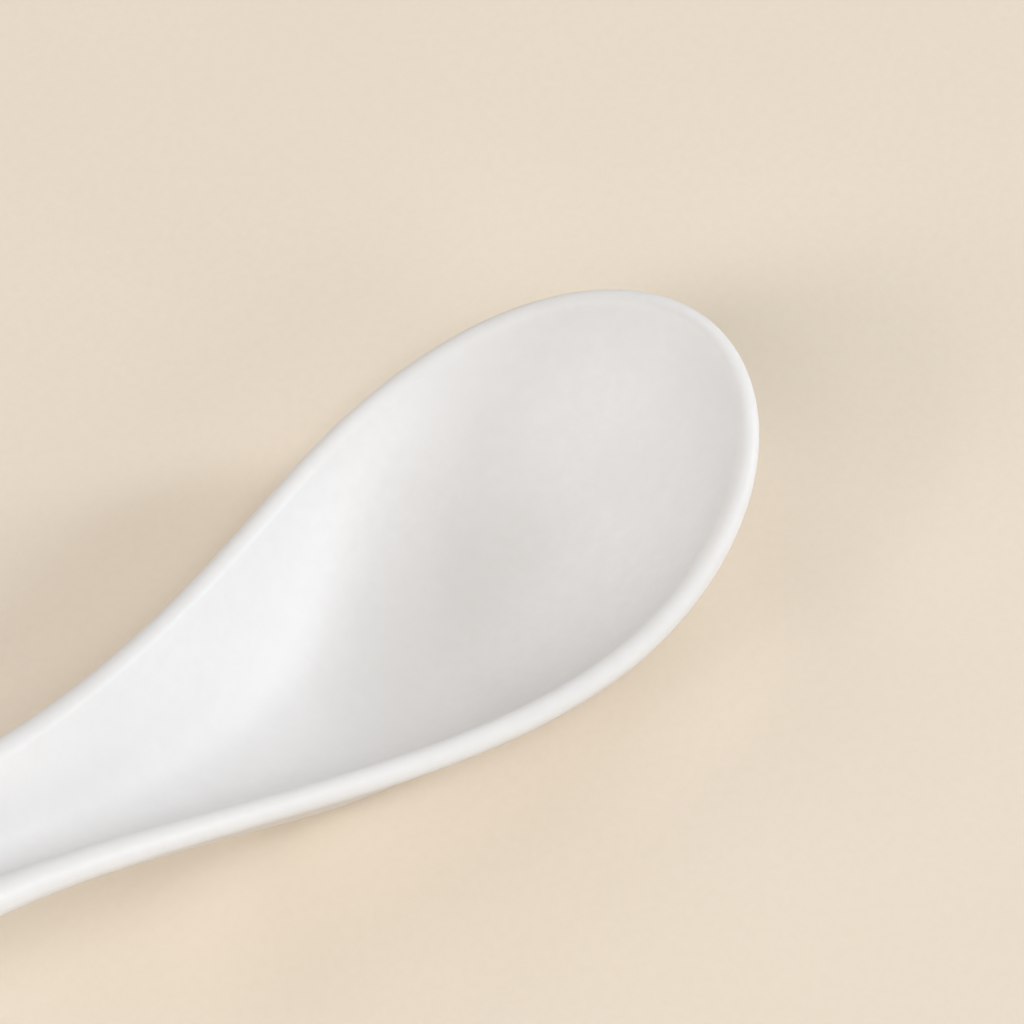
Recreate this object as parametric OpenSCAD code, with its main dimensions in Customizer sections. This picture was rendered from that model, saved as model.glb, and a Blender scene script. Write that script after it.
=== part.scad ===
// Soup spoon: deep egg-shaped bowl, rising channelled handle, flat unglazed foot.
// +X runs to the bowl's tip, +Z is up, the table is at Z = 0, the origin is the middle of the foot.

/* [Spoon] */
// Length over all, from the tip to the end of the handle
spoon_length = 136; // [132:1:146]
// Height of the rim's top above the table at the tip
tip_height = 19.5; // [17.5:0.5:22]
// Distance from the tip to the origin, in the middle of the foot
origin_from_tip = 43; // [39:1:47]

/* [Outline of the bowl] */
// Width of the bowl at its widest place
bowl_width = 44.9; // [40:0.1:50]
// Distance from the tip to the widest place
widest_from_tip = 33; // [30:0.5:36]
// Fullness of the tip, as a share of half the bowl's width
tip_fullness = 0.488; // [0.42:0.004:0.6]
// Fullness of the front sides, as a share of the run from the tip to the widest place
side_fullness = 0.64; // [0.54:0.01:0.7]
// Fullness of the shoulders, as a share of the run from the widest to the narrowest place
shoulder_fullness = 0.253; // [0.2:0.001:0.32]

/* [Outline of the handle] */
// Width of the handle at its narrowest place
handle_width = 17.3; // [15:0.1:20]
// Distance from the end of the handle to its narrowest place
narrowest_from_end = 22; // [18:1:28]
// Length of the neck's drawn-out curve, as a share of the run from the widest to the narrowest place
neck_fullness = 0.4; // [0.3:0.01:0.46]
// Width of the handle where its rounded end begins
end_width = 17.6; // [15:0.2:21]
// Length of the rounded end
end_round = 8; // [6:0.5:10]

/* [Rim from the side] */
// Angle at which the rim falls from the tip towards the middle of the bowl
front_fall = 13.6; // [10:0.1:16]
// Angle at which the handle rises
handle_rise = 30.9; // [26:0.1:34]
// Distance from the tip to the bend between bowl and handle
bend_from_tip = 51.1; // [48:0.1:54]
// Reach of that bend to each side, along the spoon
bend_reach = 60; // [50:1:66]
// Distance from the tip to the place where the handle begins to level out
level_from_tip = 100; // [96:1:108]
// How far the end of the handle has come down by levelling out
end_drop = 3; // [0.5:0.5:5]

/* [Wall] */
// Thickness of the bowl's lip, which is fully rounded
lip_thick = 2.8; // [2.4:0.1:3.2]
// Thickness of the handle's lip, rounded in the same way
handle_lip_thick = 4; // [3.2:0.1:4.6]
// Distance from the tip to the place where the lip begins to thicken
swell_from_tip = 76; // [70:1:82]
// Length of the stretch over which it thickens
swell_reach = 48; // [40:1:54]
// Thickness of the bowl's floor along the middle, before the foot is ground
floor_thick = 4; // [3.6:0.1:4.6]
// Thickness of the handle along the middle at its end, measured upright
handle_thick = 2.4; // [2.2:0.1:3.2]
// Depth of the handle's channel at its end, below the top of the lip
channel_depth = 3.4; // [2.8:0.1:4]
// Distance from the tip to the corner between the bowl's floor and the slope to the handle
slope_from_tip = 64; // [60:0.5:66]
// Reach of the rounding in that corner to each side, along the spoon
slope_reach = 32; // [24:1:38]
// Distance from the tip to the heel, where the underside leaves the foot and rises to the handle
heel_from_tip = 65; // [62:0.5:67]
// Reach of the rounding at the heel to each side, along the spoon
heel_reach = 8; // [5:1:12]
// Distance from the tip to the front end of the floor's middle line
turn_from_tip = 32; // [28:1:36]
// Distance from the tip over which the cuts through the wall lean forward to that end
turn_reach = 90; // [84:1:100]
// Distance from the end of the handle to the back end of the middle line
end_turn = 8; // [6:0.5:9]
// Distance from the end of the handle over which the cuts lean back to that end
end_reach = 24; // [22:1:30]
// How far the hollow's side leans out from upright where it meets the lip, in degrees
hollow_lean = 32; // [28:1:36]
// Level stretch in the middle of the hollow's cross-section, as a share of the way to the lip
hollow_flatness = 0.42; // [0.36:0.01:0.48]
// Straight stretch below the lip in the hollow's cross-section, as a share of the hollow's depth
hollow_steepness = 0.55; // [0.48:0.01:0.62]
// How far the underside leans out from upright where it meets the lip, in degrees
under_lean = 36; // [32:1:40]
// Level stretch in the middle of the underside's cross-section, as a share of the way to the lip
under_flatness = 0.6; // [0.54:0.01:0.66]
// Straight stretch below the lip in the underside's cross-section, as a share of the lip's height over it
under_steepness = 0.7; // [0.62:0.01:0.74]

/* [Foot and glaze] */
// How much of the rounded underside is ground away to make the flat foot, glaze included
foot_ground = 1.5; // [1.2:0.1:1.8]
// Thickness of the glaze
glaze_thick = 0.4; // [0.3:0.05:0.5]
// Height above the table at which the glaze stops, leaving the foot bare
glaze_line = 0.5; // [0.3:0.1:0.8]

/* [Hidden] */

floor_level = floor_thick - foot_ground;
end_corner = 0.55;
block = 2 * spoon_length;

tip_steps = 12;
shoulder_steps = 18;
handle_steps = 5;
end_steps = 7;
hollow_steps = 10;
lip_steps = 8;
under_steps = 10;

// One half of the outline: four curves from the tip to the end, as distance from the tip and half width
narrowest_from_tip = spoon_length - narrowest_from_end;
neck_run = narrowest_from_tip - widest_from_tip;
end_from_tip = spoon_length - end_round;
handle_run = end_from_tip - narrowest_from_tip;
tip_curve = [
    [0, 0],
    [0, tip_fullness * bowl_width / 2],
    [widest_from_tip * (1 - side_fullness), bowl_width / 2],
    [widest_from_tip, bowl_width / 2]
];
shoulder_curve = [
    [widest_from_tip, bowl_width / 2],
    [widest_from_tip + shoulder_fullness * neck_run, bowl_width / 2],
    [narrowest_from_tip - neck_fullness * neck_run, handle_width / 2],
    [narrowest_from_tip, handle_width / 2]
];
handle_curve = [
    [narrowest_from_tip, handle_width / 2],
    [narrowest_from_tip + handle_run / 3, handle_width / 2],
    [end_from_tip - handle_run / 3, end_width / 2],
    [end_from_tip, end_width / 2]
];
end_curve = [
    [end_from_tip, end_width / 2],
    [end_from_tip + end_corner * end_round, end_width / 2],
    [spoon_length, end_corner * end_width / 2],
    [spoon_length, 0]
];
curves = [tip_curve, shoulder_curve, handle_curve, end_curve];
curve_steps = [tip_steps, shoulder_steps, handle_steps, end_steps];

function along(c, t) =
    pow(1 - t, 3) * c[0] + 3 * t * pow(1 - t, 2) * c[1] + 3 * t * t * (1 - t) * c[2] + pow(t, 3) * c[3];
function heading(c, t) =
    pow(1 - t, 2) * (c[1] - c[0]) + 2 * t * (1 - t) * (c[2] - c[1]) + t * t * (c[3] - c[2]);
function outward(way) = [-way[1], way[0]] / norm(way);

// Stations along that half: the point and the direction square to the outline
half_stations = [
    for (k = [0 : len(curves) - 1])
    for (i = [0 : curve_steps[k] - 1])
    let (t = i / curve_steps[k])
    [along(curves[k], t), outward(heading(curves[k], t))],
    [[spoon_length, 0], [1, 0]]
];
half = len(half_stations) - 1;
ring = 2 * half;
function mirrored(s) = [[s[0][0], -s[0][1]], [s[1][0], -s[1][1]]];
stations = concat(half_stations, [for (i = [half - 1 : -1 : 1]) mirrored(half_stations[i])]);

// Heights in side view, by the distance from the tip
function rounded_max(a, b, reach) =
    let (share = max(reach - abs(a - b), 0) / reach)
    max(a, b) + reach * pow(share, 3) / 6;
function rim_bend(u) =
    rounded_max(
        tan(front_fall) * (bend_from_tip - u),
        tan(handle_rise) * (u - bend_from_tip),
        bend_reach * (tan(front_fall) + tan(handle_rise))
    );
function drop(u) = end_drop * pow(max(u - level_from_tip, 0) / (spoon_length - level_from_tip), 2);
function rim_top(u) = tip_height + rim_bend(u) - rim_bend(0) - drop(u);
channel_end = rim_top(spoon_length) + end_drop - channel_depth;
function slope_line(u, level, end_height, corner, reach) =
    let (slope = (end_height - level) / (spoon_length - corner))
    level + rounded_max(0, slope * (u - corner), slope * reach) - drop(u);
function floor_height(u) = slope_line(u, floor_level, channel_end, slope_from_tip, slope_reach);
function under_height(u) = slope_line(u, -foot_ground, channel_end - handle_thick, heel_from_tip, heel_reach);

// The lip's radius, by the distance from the tip
function eased(share) = pow(share, 2) * (3 - 2 * share);
function lip_swell(u) = eased(min(max((u - swell_from_tip) / swell_reach, 0), 1));
function lip_radius(u) = (lip_thick + (handle_lip_thick - lip_thick) * lip_swell(u)) / 2;

// The middle line, from which every cut starts: it stops short of the tip and of the handle's end
function pull(share) = pow(max(1 - share, 0), 2);
function middle(u) = u + turn_from_tip * pull(u / turn_reach) - end_turn * pull((spoon_length - u) / end_reach);

// A bow from the middle line, level there, out to the lip, where it leans at a given angle
hollow_shares = [for (k = [0 : hollow_steps - 1]) k / hollow_steps];
under_shares = [for (k = [under_steps - 1 : -1 : 0]) k / under_steps];
function bow_points(core, edge, way, base, lean, flatness, steepness, shares) =
    let (
        run = [edge[0], edge[1]] - core,
        rise = edge[2] - base(edge[0]),
        across = [0, flatness, 1 - steepness * rise * tan(lean) / (run * way), 1],
        upward = [0, 0, (1 - steepness) * rise, rise]
    )
    [
        for (t = shares)
        let (plan = core + run * along(across, t))
        [plan[0], plan[1], base(plan[0]) + along(upward, t)]
    ];

// One cut from the floor's middle line over the lip to the underside's middle line
inner_angle = 180 - hollow_lean;
outer_angle = -under_lean;
lip_angles = [for (k = [0 : lip_steps]) inner_angle + (outer_angle - inner_angle) * k / lip_steps];
function cut_points(s, inset) =
    let (
        u = s[0][0],
        way = s[1],
        whole_r = lip_radius(u),
        r = whole_r - inset,
        lip_mid = s[0] - whole_r * way,
        lip_z = rim_top(u) - whole_r,
        core = [middle(u), 0],
        floor_base = function (v) floor_height(v) - inset,
        under_base = function (v) under_height(v) + inset,
        lip = [for (a = lip_angles) let (p = lip_mid + r * cos(a) * way) [p[0], p[1], lip_z + r * sin(a)]]
    )
    concat(
        bow_points(
            core, lip[0], way, floor_base,
            hollow_lean, hollow_flatness, hollow_steepness, hollow_shares
        ),
        lip,
        bow_points(
            core, lip[lip_steps], way, under_base,
            under_lean, under_flatness, under_steepness, under_shares
        )
    );
cut_size = hollow_steps + lip_steps + 1 + under_steps;

// Cuts on both sides share their first and last point on the middle line
function point_id(i, j) =
    let (side = i % ring)
    (j == 0 || j == cut_size - 1) && side > half ? (ring - side) * cut_size + j : side * cut_size + j;
function facet_pair(a, b, c, d, flip) = flip ? [[a, b, d], [b, c, d]] : [[a, b, c], [a, c, d]];
// The diagonals fan out from the middle line's two ends, so that no facet lies upright in the middle plane
function flipped(i, j) = (i % half < half / 2) == (j > cut_size / 2);
form_faces = [
    for (i = [0 : ring - 1])
    for (j = [0 : cut_size - 2])
    each facet_pair(
        point_id(i, j),
        point_id(i + 1, j),
        point_id(i + 1, j + 1),
        point_id(i, j + 1),
        flipped(i, j)
    )
];

// The whole spoon before grinding, drawn in by a given thickness all over
module spoon_form(inset) {
    points = [for (s = stations) each [for (p = cut_points(s, inset)) [origin_from_tip - p[0], p[1], p[2]]]];
    polyhedron(points = points, faces = form_faces);
}

module below(level) {
    translate([-block / 2, -block / 2, level - block])
        cube(block);
}

module ceramic_body() {
    color([0.90, 0.88, 0.84])
        difference() {
            spoon_form(glaze_thick);
            below(0);
        }
}

module glaze_coat() {
    color([0.95, 0.94, 0.92])
        difference() {
            spoon_form(0);
            spoon_form(glaze_thick);
            below(glaze_line);
        }
}

ceramic_body();
glaze_coat();
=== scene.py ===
import math

import bmesh
import bpy
import numpy as np
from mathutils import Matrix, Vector


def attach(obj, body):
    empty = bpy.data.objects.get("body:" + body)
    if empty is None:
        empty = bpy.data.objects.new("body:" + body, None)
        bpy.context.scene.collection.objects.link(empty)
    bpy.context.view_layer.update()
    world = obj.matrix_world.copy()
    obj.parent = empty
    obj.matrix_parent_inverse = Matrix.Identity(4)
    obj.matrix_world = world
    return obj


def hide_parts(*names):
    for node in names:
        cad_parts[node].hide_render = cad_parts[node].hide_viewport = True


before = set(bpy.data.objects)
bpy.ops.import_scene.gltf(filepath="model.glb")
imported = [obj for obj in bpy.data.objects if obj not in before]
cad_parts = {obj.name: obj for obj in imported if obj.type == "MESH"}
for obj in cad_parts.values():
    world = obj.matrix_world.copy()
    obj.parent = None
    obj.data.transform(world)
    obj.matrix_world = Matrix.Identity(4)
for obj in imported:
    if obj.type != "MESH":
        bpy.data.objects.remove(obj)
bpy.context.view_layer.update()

MM = 0.001

# Sizes in millimetres and leans in degrees, the same as in the part's source
SPOON_LENGTH = 136.0
TIP_HEIGHT = 19.5
ORIGIN_FROM_TIP = 43.0
BOWL_WIDTH = 44.9
WIDEST_FROM_TIP = 33.0
TIP_FULLNESS = 0.488
SIDE_FULLNESS = 0.64
SHOULDER_FULLNESS = 0.253
HANDLE_WIDTH = 17.3
NARROWEST_FROM_END = 22.0
NECK_FULLNESS = 0.4
END_WIDTH = 17.6
END_ROUND = 8.0
END_CORNER = 0.55
FRONT_FALL = 13.6
HANDLE_RISE = 30.9
BEND_FROM_TIP = 51.1
BEND_REACH = 60.0
LEVEL_FROM_TIP = 100.0
END_DROP = 3.0
LIP_THICK = 2.8
HANDLE_LIP_THICK = 4.0
SWELL_FROM_TIP = 76.0
SWELL_REACH = 48.0
FLOOR_THICK = 4.0
HANDLE_THICK = 2.4
CHANNEL_DEPTH = 3.4
SLOPE_FROM_TIP = 64.0
SLOPE_REACH = 32.0
HEEL_FROM_TIP = 65.0
HEEL_REACH = 8.0
TURN_FROM_TIP = 32.0
TURN_REACH = 90.0
END_TURN = 8.0
END_REACH = 24.0
HOLLOW_LEAN = 32.0
HOLLOW_FLATNESS = 0.42
HOLLOW_STEEPNESS = 0.55
UNDER_LEAN = 36.0
UNDER_FLATNESS = 0.6
UNDER_STEEPNESS = 0.7
FOOT_GROUND = 1.5
GLAZE_THICK = 0.4
GLAZE_LINE = 0.5
FLOOR_LEVEL = FLOOR_THICK - FOOT_GROUND
NARROWEST_FROM_TIP = SPOON_LENGTH - NARROWEST_FROM_END

# The ground edge of the foot is broken by a small bevel
FOOT_BEVEL_HEIGHT = 0.10
FOOT_BEVEL_DEPTH = 0.22

# How finely the surfaces are divided: stations on each stretch of half the outline,
# stations gathered before the heel, and points on each cut
CURVE_STEPS = (48, 80, 20, 28)
HEEL_STEPS = 10
HEEL_SPACING = 0.02
HOLLOW_STEPS = 40
LIP_STEPS = 18
UNDER_STEPS = 40
NOSE_STEPS = 6

# Searches: how often a range is halved, how many points of a curve are tried, and the
# distance from the middle plane, in millimetres, that counts as none
HALVINGS = 60
SEARCH_POINTS = 4001
NO_DISTANCE = 1e-7


# Heights in side view, by the distance from the tip
def rounded_max(a, b, reach):
    """The larger of two heights, with the corner between them rounded."""
    share = np.maximum(reach - np.abs(a - b), 0) / reach
    return np.maximum(a, b) + reach * share**3 / 6


def rim_bend(u):
    fall = math.tan(math.radians(FRONT_FALL))
    rise = math.tan(math.radians(HANDLE_RISE))
    past_bend = u - BEND_FROM_TIP
    return rounded_max(-fall * past_bend, rise * past_bend, BEND_REACH * (fall + rise))


def drop(u):
    return END_DROP * (np.maximum(u - LEVEL_FROM_TIP, 0) / (SPOON_LENGTH - LEVEL_FROM_TIP)) ** 2


def rim_top(u):
    return TIP_HEIGHT + rim_bend(u) - rim_bend(0.0) - drop(u)


CHANNEL_END = rim_top(SPOON_LENGTH) + END_DROP - CHANNEL_DEPTH


def slope_line(u, level, end_height, corner, reach):
    slope = (end_height - level) / (SPOON_LENGTH - corner)
    return level + rounded_max(0.0, slope * (u - corner), slope * reach) - drop(u)


def floor_height(u):
    return slope_line(u, FLOOR_LEVEL, CHANNEL_END, SLOPE_FROM_TIP, SLOPE_REACH)


def under_height(u):
    return slope_line(u, -FOOT_GROUND, CHANNEL_END - HANDLE_THICK, HEEL_FROM_TIP, HEEL_REACH)


def lip_radius(u):
    share = np.clip((u - SWELL_FROM_TIP) / SWELL_REACH, 0, 1)
    return (LIP_THICK + (HANDLE_LIP_THICK - LIP_THICK) * share**2 * (3 - 2 * share)) / 2


def pull(share):
    return np.maximum(1 - share, 0) ** 2


def middle(u):
    """Where the cut at u meets the middle line: at both ends the cuts turn inwards."""
    from_end = SPOON_LENGTH - u
    return u + TURN_FROM_TIP * pull(u / TURN_REACH) - END_TURN * pull(from_end / END_REACH)


# Half the outline: four curves from the tip to the end of the handle
def outline_curves():
    neck_run = NARROWEST_FROM_TIP - WIDEST_FROM_TIP
    end_from_tip = SPOON_LENGTH - END_ROUND
    handle_run = end_from_tip - NARROWEST_FROM_TIP
    bowl, neck, end = BOWL_WIDTH / 2, HANDLE_WIDTH / 2, END_WIDTH / 2
    tip_curve = [
        (0, 0),
        (0, TIP_FULLNESS * bowl),
        (WIDEST_FROM_TIP * (1 - SIDE_FULLNESS), bowl),
        (WIDEST_FROM_TIP, bowl),
    ]
    shoulder_curve = [
        (WIDEST_FROM_TIP, bowl),
        (WIDEST_FROM_TIP + SHOULDER_FULLNESS * neck_run, bowl),
        (NARROWEST_FROM_TIP - NECK_FULLNESS * neck_run, neck),
        (NARROWEST_FROM_TIP, neck),
    ]
    handle_curve = [
        (NARROWEST_FROM_TIP, neck),
        (NARROWEST_FROM_TIP + handle_run / 3, neck),
        (end_from_tip - handle_run / 3, end),
        (end_from_tip, end),
    ]
    end_curve = [
        (end_from_tip, end),
        (end_from_tip + END_CORNER * END_ROUND, end),
        (SPOON_LENGTH, END_CORNER * end),
        (SPOON_LENGTH, 0),
    ]
    return [np.array(c, float) for c in (tip_curve, shoulder_curve, handle_curve, end_curve)]


def along(c, t):
    s = 1 - t
    return s**3 * c[0] + 3 * t * s**2 * c[1] + 3 * t * t * s * c[2] + t**3 * c[3]


def outward(c, t):
    s = 1 - t
    way = s**2 * (c[1] - c[0]) + 2 * t * s * (c[2] - c[1]) + t * t * (c[3] - c[2])
    return np.array((-way[1], way[0])) / math.hypot(*way)


def half_stations(heel_u):
    """Points of half the outline, denser just before heel_u, and the directions square to it."""
    curves = outline_curves()
    places = [(k, i / n) for k, n in enumerate(CURVE_STEPS) for i in range(n)] + [(3, 1.0)]
    dense = np.linspace(0, 1, SEARCH_POINTS)
    shoulder_u = np.array([along(curves[1], t)[0] for t in dense])
    for k in range(HEEL_STEPS):
        places.append((1, float(np.interp(heel_u - HEEL_SPACING * k * k, shoulder_u, dense))))
    places.sort()
    points = np.array([along(curves[k], t) for k, t in places])
    ways = np.array([outward(curves[k], t) for k, t in places])
    return points, ways


def heel_place(level, inset):
    """Where on the outline the underside's middle line passes a level, counted from the tip."""
    low, high = WIDEST_FROM_TIP, NARROWEST_FROM_TIP
    for _ in range(HALVINGS):
        u = (low + high) / 2
        if under_height(middle(u)) + inset < level:
            low = u
        else:
            high = u
    return high


# The cuts of half the spoon, as arrays of stations by points
INNER_ANGLE = math.pi - math.radians(HOLLOW_LEAN)
OUTER_ANGLE = -math.radians(UNDER_LEAN)


def bow(core, edge, edge_z, ways, base, lean, flatness, steepness, t):
    """A curve from the middle line, level there, to the lip, where it leans out from upright."""
    run = edge - np.stack((core, 0 * core), axis=-1)
    reach = np.linalg.norm(run, axis=1)[:, None]
    square = np.sum(run * ways, axis=1)[:, None] / reach
    rise = (edge_z - base(edge[:, 0]))[:, None]
    knee = reach - steepness * rise * math.tan(math.radians(lean)) / square
    far = 3 * t * (1 - t) ** 2 * flatness * reach + 3 * t**2 * (1 - t) * knee + t**3 * reach
    up = 3 * t**2 * (1 - t) * (1 - steepness) * rise + t**3 * rise
    u = core[:, None] + run[:, :1] * far / reach
    y = run[:, 1:] * far / reach
    return np.stack((u, y, base(u) + up), axis=-1)


def lip_point(points, ways, inset, angle):
    """A point on the round lip of every cut: plan and height."""
    whole = lip_radius(points[:, 0])
    radius = whole - inset
    plan = points + (radius * math.cos(angle) - whole)[:, None] * ways
    return plan, rim_top(points[:, 0]) - whole + radius * math.sin(angle)


def under_bow(points, ways, inset, t):
    edge, edge_z = lip_point(points, ways, inset, OUTER_ANGLE)
    core = middle(points[:, 0])

    def base(u):
        return under_height(u) + inset

    return bow(core, edge, edge_z, ways, base, UNDER_LEAN, UNDER_FLATNESS, UNDER_STEEPNESS, t)


def hollow_bow(points, ways, inset, t):
    edge, edge_z = lip_point(points, ways, inset, INNER_ANGLE)
    core = middle(points[:, 0])

    def base(u):
        return floor_height(u) - inset

    return bow(core, edge, edge_z, ways, base, HOLLOW_LEAN, HOLLOW_FLATNESS, HOLLOW_STEEPNESS, t)


def under_stop(points, ways, inset, level):
    """How far out each cut of the underside rises to a level, 0 where it is never below it."""
    low, high = np.zeros(len(points)), np.ones(len(points))
    for _ in range(HALVINGS):
        t = (low + high) / 2
        above = under_bow(points, ways, inset, t[:, None])[:, 0, 2] > level
        high = np.where(above, t, high)
        low = np.where(above, low, t)
    reached = under_bow(points, ways, inset, 0 * low[:, None])[:, 0, 2] < level
    return np.where(reached, high, 0.0)


def half_cuts(points, ways, inset, stop):
    """Hollow, lip and underside of every cut, the underside from the lip in to stop."""
    hollow_t = np.tile(np.linspace(0, 1, HOLLOW_STEPS + 1)[:-1], (len(points), 1))
    lip = []
    for angle in np.linspace(INNER_ANGLE, OUTER_ANGLE, LIP_STEPS + 1):
        plan, height = lip_point(points, ways, inset, angle)
        lip.append(np.concatenate((plan, height[:, None]), axis=1))
    under_t = 1 + (stop[:, None] - 1) * np.linspace(0, 1, UNDER_STEPS + 1)[None, 1:]
    return np.concatenate(
        (
            hollow_bow(points, ways, inset, hollow_t),
            np.stack(lip, axis=1),
            under_bow(points, ways, inset, under_t),
        ),
        axis=1,
    )


def downhill(cuts, last):
    """Unit directions down the underside where the cuts stop, at stations 0 to last."""
    ends = cuts[: last + 1, -1]
    along_edge = np.gradient(ends, axis=0)
    along_edge[0] = along_edge[last] = (0, 1, 0)
    along_edge /= np.linalg.norm(along_edge, axis=1, keepdims=True)
    down = ends - cuts[: last + 1, -2]
    down -= np.sum(down * along_edge, axis=1, keepdims=True) * along_edge
    u = ends[last, 0]
    down[last] = (-1, 0, under_height(u - 1) - under_height(u))
    return down / np.linalg.norm(down, axis=1, keepdims=True)


def placed(cuts):
    """Cuts in the part's own frame, in metres."""
    return np.stack((ORIGIN_FROM_TIP - cuts[..., 0], cuts[..., 1], cuts[..., 2]), axis=-1) * MM


def ring_mesh(name, cuts, edge_rows, last, foot_row=None):
    """A closed mesh from half the cuts and their mirror images.

    Rows in edge_rows only run to station last, and foot_row, where given, bounds a flat face.
    """
    half, rows = len(cuts) - 1, cuts.shape[1]
    ring = np.concatenate((cuts, cuts[-2:0:-1] * (1, -1, 1)))
    bm = bmesh.new()
    verts = {}

    def vertex(i, j):
        i %= len(ring)
        if abs(ring[i, j, 1]) < NO_DISTANCE and i > half:
            i = len(ring) - i
        if (i, j) not in verts:
            verts[i, j] = bm.verts.new(placed(ring[i, j]))
        return verts[i, j]

    for i in range(len(ring)):
        station = min(i, len(ring) - 1 - i)
        for j in range(rows - 1):
            if j in edge_rows and station >= last:
                continue
            corners = [vertex(i, j), vertex(i + 1, j), vertex(i + 1, j + 1), vertex(i, j + 1)]
            corners = list(dict.fromkeys(corners))
            beside = [k for k, v in enumerate(corners) if abs(v.co.y) > NO_DISTANCE * MM]
            if len(corners) == 4 and len(beside) == 1:
                k = beside[0]
                bm.faces.new((corners[k], corners[k - 3], corners[k - 2]))
                bm.faces.new((corners[k], corners[k - 2], corners[k - 1]))
            elif len(corners) > 2:
                bm.faces.new(corners)
    if foot_row is not None:
        loop = [vertex(i, foot_row) for i in range(len(ring)) if min(i, len(ring) - i) <= last]
        bm.faces.new(list(dict.fromkeys(loop)))
    bmesh.ops.recalc_face_normals(bm, faces=bm.faces)
    mesh = bpy.data.meshes.new(name)
    bm.to_mesh(mesh)
    bm.free()
    mesh.shade_smooth()
    piece = bpy.data.objects.new(name, mesh)
    bpy.context.scene.collection.objects.link(piece)
    return piece


def glaze_piece():
    """The glaze: outer skin, rounded edge above the foot, and the inner skin on the body."""
    heel = heel_place(GLAZE_LINE, 0.0)
    points, ways = half_stations(heel)
    stop = under_stop(points, ways, 0.0, GLAZE_LINE)
    last = int(np.argmax(stop == 0))
    outer = half_cuts(points, ways, 0.0, stop)
    inner = half_cuts(points, ways, GLAZE_THICK, stop)
    turns = np.linspace(0, math.pi, NOSE_STEPS + 1)[1:-1]
    gap = inner[:, -1] - outer[:, -1]
    way = np.zeros_like(gap)
    way[: last + 1] = downhill(outer, last)
    radius = np.linalg.norm(gap, axis=1)[:, None, None] / 2
    bulge = radius * way[:, None, :] * np.sin(turns)[None, :, None]
    nose = outer[:, -1:] + gap[:, None, :] * ((1 - np.cos(turns)) / 2)[None, :, None] + bulge
    cuts = np.concatenate((outer, nose, inner[:, ::-1]), axis=1)
    first_edge = outer.shape[1] - 1
    edge_rows = range(first_edge, first_edge + NOSE_STEPS)
    return ring_mesh("glaze_skin", cuts, edge_rows, last)


def body_piece():
    """The bare body under the glaze, with a flat ground foot."""
    heel = heel_place(FOOT_BEVEL_HEIGHT, GLAZE_THICK)
    points, ways = half_stations(heel)
    stop = under_stop(points, ways, GLAZE_THICK, FOOT_BEVEL_HEIGHT)
    last = int(np.argmax(stop == 0))
    cuts = half_cuts(points, ways, GLAZE_THICK, stop)
    way = np.zeros((len(cuts), 3))
    way[: last + 1] = downhill(cuts, last)
    flat_length = np.linalg.norm(way[:, :2], axis=1, keepdims=True)
    flat_way = way[:, :2] / np.maximum(flat_length, NO_DISTANCE)
    foot = cuts[:, -1].copy()
    foot[:, :2] += flat_way * FOOT_BEVEL_DEPTH
    foot[:, 2] = 0.0
    cuts = np.concatenate((cuts, foot[:, None, :]), axis=1)
    rows = cuts.shape[1]
    return ring_mesh("foot_and_body", cuts, range(rows - 2, rows - 1), last, foot_row=rows - 1)


# Materials
def new_material(name):
    material = bpy.data.materials.new(name)
    material.use_nodes = True
    nodes, links = material.node_tree.nodes, material.node_tree.links
    nodes.clear()
    output = nodes.new("ShaderNodeOutputMaterial")
    shader = nodes.new("ShaderNodeBsdfPrincipled")
    links.new(shader.outputs["BSDF"], output.inputs["Surface"])
    place = nodes.new("ShaderNodeTexCoord").outputs["Object"]
    return material, nodes, links, shader, place


def noise(nodes, links, place, size_mm, detail=3.0, roughness=0.5):
    """Noise whose lumps are about size_mm across."""
    node = nodes.new("ShaderNodeTexNoise")
    node.inputs["Scale"].default_value = 1.0 / (size_mm * MM)
    node.inputs["Detail"].default_value = detail
    node.inputs["Roughness"].default_value = roughness
    links.new(place, node.inputs["Vector"])
    return node.outputs["Fac"]


def mapped(nodes, links, value, low, high, from_low=0.3, from_high=0.7):
    """A value brought from one range to another. Noise mostly lies in the range that is assumed."""
    node = nodes.new("ShaderNodeMapRange")
    node.inputs["From Min"].default_value = from_low
    node.inputs["From Max"].default_value = from_high
    node.inputs["To Min"].default_value = low
    node.inputs["To Max"].default_value = high
    links.new(value, node.inputs["Value"])
    return node.outputs["Result"]


def mixed(nodes, links, share, first, second):
    """A colour between two colours or sockets."""
    node = nodes.new("ShaderNodeMix")
    node.data_type = "RGBA"
    links.new(share, node.inputs["Factor"])
    for socket, colour in ((node.inputs["A"], first), (node.inputs["B"], second)):
        if isinstance(colour, tuple):
            socket.default_value = (*colour, 1.0)
        else:
            links.new(colour, socket)
    return node.outputs["Result"]


def bumped(nodes, links, height, distance_mm, strength, below=None):
    """Bumps of a height, on top of those below."""
    node = nodes.new("ShaderNodeBump")
    node.inputs["Distance"].default_value = distance_mm * MM
    node.inputs["Strength"].default_value = strength
    links.new(height, node.inputs["Height"])
    if below is not None:
        links.new(below, node.inputs["Normal"])
    return node.outputs["Normal"]


def joined(nodes, links, operation, first, second):
    """Two values joined by a Math node."""
    node = nodes.new("ShaderNodeMath")
    node.operation = operation
    links.new(first, node.inputs[0])
    links.new(second, node.inputs[1])
    return node.outputs["Value"]


def mixed_shader(nodes, links, share, first, second):
    """The first shader, and the second where share is 1."""
    node = nodes.new("ShaderNodeMixShader")
    links.new(share, node.inputs["Fac"])
    links.new(first, node.inputs[1])
    links.new(second, node.inputs[2])
    return node.outputs["Shader"]


def linear(red, green, blue):
    """A colour given in 8-bit sRGB values, as linear light."""
    parts = [c / 255 for c in (red, green, blue)]
    return tuple(c / 12.92 if c <= 0.04045 else ((c + 0.055) / 1.055) ** 2.4 for c in parts)


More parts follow.
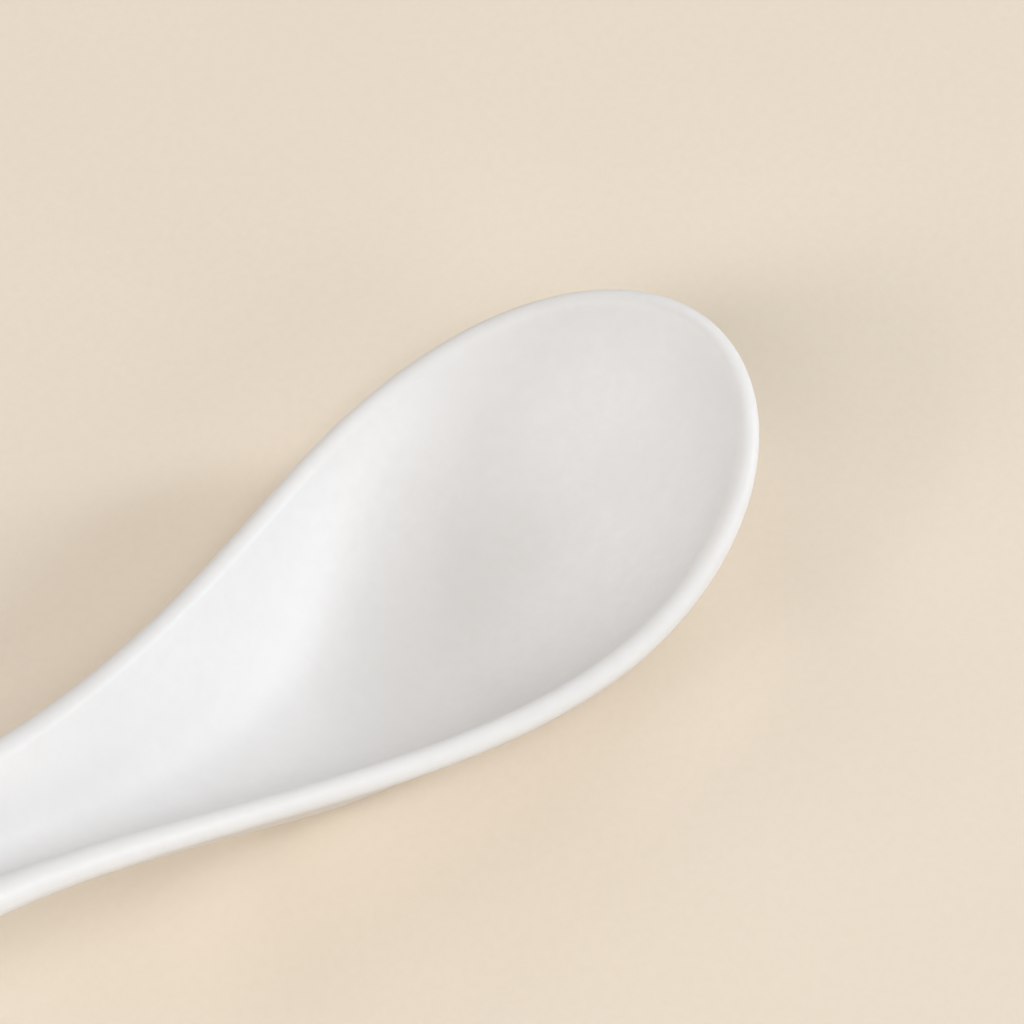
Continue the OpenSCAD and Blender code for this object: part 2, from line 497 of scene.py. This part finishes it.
GLAZE_DEEP = linear(225, 223, 222)
GLAZE_LIGHT = linear(229, 227, 226)
GLAZE_MOTTLE = linear(222, 220, 218)
CLAY_DEEP = linear(222, 214, 201)
CLAY_LIGHT = linear(232, 226, 215)
CLAY_GRIT = linear(190, 178, 160)
PAPER_DEEP = linear(232, 219, 201)
PAPER_LIGHT = linear(234, 221, 204)
PAPER_FIBRE = linear(228, 214, 195)
BACKDROP = linear(232, 221, 205)


def glaze_material():
    material, nodes, links, shader, place = new_material("satin_white_glaze")
    clouds = noise(nodes, links, place, size_mm=14.0)
    clouds = mapped(nodes, links, clouds, low=0.0, high=1.0)
    colour = mixed(nodes, links, clouds, GLAZE_DEEP, GLAZE_LIGHT)
    mottle = noise(nodes, links, place, size_mm=1.6, detail=4.0, roughness=0.6)
    mottle = mapped(nodes, links, mottle, low=0.0, high=0.5)
    colour = mixed(nodes, links, mottle, colour, GLAZE_MOTTLE)
    links.new(colour, shader.inputs["Base Color"])
    satin = noise(nodes, links, place, size_mm=1.1, detail=4.0, roughness=0.6)
    satin = mapped(nodes, links, satin, low=0.49, high=0.56)
    links.new(satin, shader.inputs["Roughness"])
    waves = noise(nodes, links, place, size_mm=7.0, detail=1.0)
    waves = bumped(nodes, links, waves, distance_mm=0.05, strength=0.35)
    grain = noise(nodes, links, place, size_mm=0.7, detail=3.0)
    grain = bumped(nodes, links, grain, distance_mm=0.012, strength=0.5, below=waves)
    links.new(grain, shader.inputs["Normal"])
    shader.inputs["IOR"].default_value = 1.5
    return material


def bare_material():
    material, nodes, links, shader, place = new_material("bare_ceramic")
    clouds = noise(nodes, links, place, size_mm=6.0)
    clouds = mapped(nodes, links, clouds, low=0.0, high=1.0)
    colour = mixed(nodes, links, clouds, CLAY_DEEP, CLAY_LIGHT)
    grit = noise(nodes, links, place, size_mm=0.35, detail=4.0, roughness=0.7)
    grit = mapped(nodes, links, grit, low=0.0, high=0.7, from_low=0.5, from_high=0.72)
    colour = mixed(nodes, links, grit, colour, CLAY_GRIT)
    links.new(colour, shader.inputs["Base Color"])
    dryness = mapped(nodes, links, clouds, low=0.72, high=0.85)
    links.new(dryness, shader.inputs["Roughness"])
    grain = noise(nodes, links, place, size_mm=0.3, detail=4.0)
    grain = bumped(nodes, links, grain, distance_mm=0.05, strength=0.7)
    links.new(grain, shader.inputs["Normal"])
    return material


# The floor, in metres: half its width, and how far it lies below the foot
FLOOR_HALF = 6.0
FLOOR_GAP = 0.02 * MM
FOOT_RAY = 3 * FLOOR_GAP


def floor_material():
    """Pale paper from above. From below, and from the foot that stands on it, it is clear."""
    material, nodes, links, shader, place = new_material("pale_paper")
    clouds = noise(nodes, links, place, size_mm=45.0, detail=2.0)
    clouds = mapped(nodes, links, clouds, low=0.0, high=1.0)
    colour = mixed(nodes, links, clouds, PAPER_DEEP, PAPER_LIGHT)
    fibres = noise(nodes, links, place, size_mm=1.2, detail=5.0, roughness=0.65)
    fibres = mapped(nodes, links, fibres, low=0.0, high=0.5)
    colour = mixed(nodes, links, fibres, colour, PAPER_FIBRE)
    links.new(colour, shader.inputs["Base Color"])
    shader.inputs["Roughness"].default_value = 0.9
    shader.inputs["Specular IOR Level"].default_value = 0.2
    from_foot = nodes.new("ShaderNodeMath")
    from_foot.operation = "LESS_THAN"
    links.new(nodes.new("ShaderNodeLightPath").outputs["Ray Length"], from_foot.inputs[0])
    from_foot.inputs[1].default_value = FOOT_RAY
    from_below = nodes.new("ShaderNodeNewGeometry").outputs["Backfacing"]
    clear = joined(nodes, links, "MAXIMUM", from_below, from_foot.outputs["Value"])
    nothing = nodes.new("ShaderNodeBsdfTransparent").outputs["BSDF"]
    surface = mixed_shader(nodes, links, clear, shader.outputs["BSDF"], nothing)
    links.new(surface, nodes["Material Output"].inputs["Surface"])
    return material


# Pieces
glaze = glaze_piece()
glaze.data.materials.append(glaze_material())
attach(glaze, "root")
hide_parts("glaze_coat")

body = body_piece()
body.data.materials.append(bare_material())
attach(body, "root")
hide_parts("ceramic_body")

# The photograph's camera: its place in metres, how far it looks down, its turn and its lens,
# and the directions across and into its picture
CAMERA_PLACE = Vector((-0.18579, -0.18650, 0.41887))
CAMERA_DOWN = math.radians(56.142)
CAMERA_TURN = math.radians(46.634)
CAMERA_LENS = 158.2
CAMERA_SENSOR = 36.0
RIGHT = Vector((math.cos(CAMERA_TURN), -math.sin(CAMERA_TURN), 0))
AWAY = Vector((math.sin(CAMERA_TURN), math.cos(CAMERA_TURN), 0))
UP = Vector((0, 0, 1))

# Soft boxes round the spoon, all at one distance in metres. For each its name, the turn from
# the picture's right towards its back and the height above the floor, both in degrees, its
# width and length in metres, its watts and its colour
LAMP_DISTANCE = 1.8
WHITE = (1.0, 1.0, 1.0)
COOL = (0.85, 0.925, 1.0)
WARM = (1.0, 0.94, 0.84)
LAMPS = (
    ("right_box", 17, 18.5, 0.26, 0.40, 17.4, COOL),
    ("top_box", 283, 60, 0.45, 0.45, 6.9, WHITE),
    ("front_box", 262, 45, 0.80, 0.80, 3.3, WHITE),
    ("side_box", 325, 20, 0.80, 0.80, 6.4, WHITE),
    ("left_box", 213, 28, 0.60, 0.60, 8.6, WHITE),
    ("high_left_box", 228, 47, 0.60, 0.60, 3.4, WHITE),
    ("back_left_box", 130, 35, 0.80, 0.80, 4.7, WHITE),
    ("back_box", 66, 43, 0.90, 0.90, 5.1, WHITE),
)

# The room's own light above the floor, and the light below it that only the underside meets.
# It changes over a narrow band under the horizon
ROOM_STRENGTH = 0.165
BELOW_STRENGTH = 0.9
HORIZON_BAND = 0.1


def make_camera():
    data = bpy.data.cameras.new("camera")
    data.lens = CAMERA_LENS
    data.sensor_width = CAMERA_SENSOR
    camera = bpy.data.objects.new("camera", data)
    camera.location = CAMERA_PLACE
    camera.rotation_euler = (math.pi / 2 - CAMERA_DOWN, 0, -CAMERA_TURN)
    bpy.context.scene.collection.objects.link(camera)
    bpy.context.scene.camera = camera


def make_floor():
    """A pale floor, a hair below the foot so that the two faces stay apart."""
    sides = ((-1, -1), (1, -1), (1, 1), (-1, 1))
    corners = [(x * FLOOR_HALF, y * FLOOR_HALF, -FLOOR_GAP) for x, y in sides]
    mesh = bpy.data.meshes.new("floor")
    mesh.from_pydata(corners, [], [(0, 1, 2, 3)])
    mesh.materials.append(floor_material())
    floor = bpy.data.objects.new("floor", mesh)
    bpy.context.scene.collection.objects.link(floor)


def make_lamp(name, turn, height, width, length, watts, colour):
    turn, height = math.radians(turn), math.radians(height)
    flat_way = RIGHT * math.cos(turn) + AWAY * math.sin(turn)
    way = flat_way * math.cos(height) + UP * math.sin(height)
    data = bpy.data.lights.new(name, "AREA")
    data.shape = "RECTANGLE"
    data.size = width
    data.size_y = length
    data.energy = watts
    data.color = colour
    lamp = bpy.data.objects.new(name, data)
    lamp.location = way * LAMP_DISTANCE
    lamp.rotation_mode = "QUATERNION"
    lamp.rotation_quaternion = way.to_track_quat("Z", "Y")
    lamp.visible_camera = False
    bpy.context.scene.collection.objects.link(lamp)


def background(nodes, colour, strength):
    node = nodes.new("ShaderNodeBackground")
    node.inputs["Color"].default_value = (*colour, 1.0)
    node.inputs["Strength"].default_value = strength
    return node.outputs["Background"]


def make_world():
    """Soft light from all round, behind which the camera and mirrors see a plain backdrop."""
    world = bpy.data.worlds.new("studio")
    bpy.context.scene.world = world
    world.use_nodes = True
    nodes, links = world.node_tree.nodes, world.node_tree.links
    nodes.clear()
    output = nodes.new("ShaderNodeOutputWorld")
    way = nodes.new("ShaderNodeSeparateXYZ")
    links.new(nodes.new("ShaderNodeTexCoord").outputs["Generated"], way.inputs["Vector"])
    up = way.outputs["Z"]
    under = mapped(nodes, links, up, low=1.0, high=0.0, from_low=-HORIZON_BAND, from_high=0.0)
    room = background(nodes, WARM, ROOM_STRENGTH)
    light = mixed_shader(nodes, links, under, room, background(nodes, WHITE, BELOW_STRENGTH))
    rays = nodes.new("ShaderNodeLightPath")
    seen = rays.outputs["Is Camera Ray"]
    for kind in ("Is Glossy Ray", "Is Transmission Ray"):
        seen = joined(nodes, links, "MAXIMUM", seen, rays.outputs[kind])
    both = mixed_shader(nodes, links, seen, light, background(nodes, BACKDROP, 1.0))
    links.new(both, output.inputs["Surface"])


make_camera()
make_floor()
for lamp_row in LAMPS:
    make_lamp(*lamp_row)
make_world()

bpy.context.scene.view_settings.view_transform = "Standard"
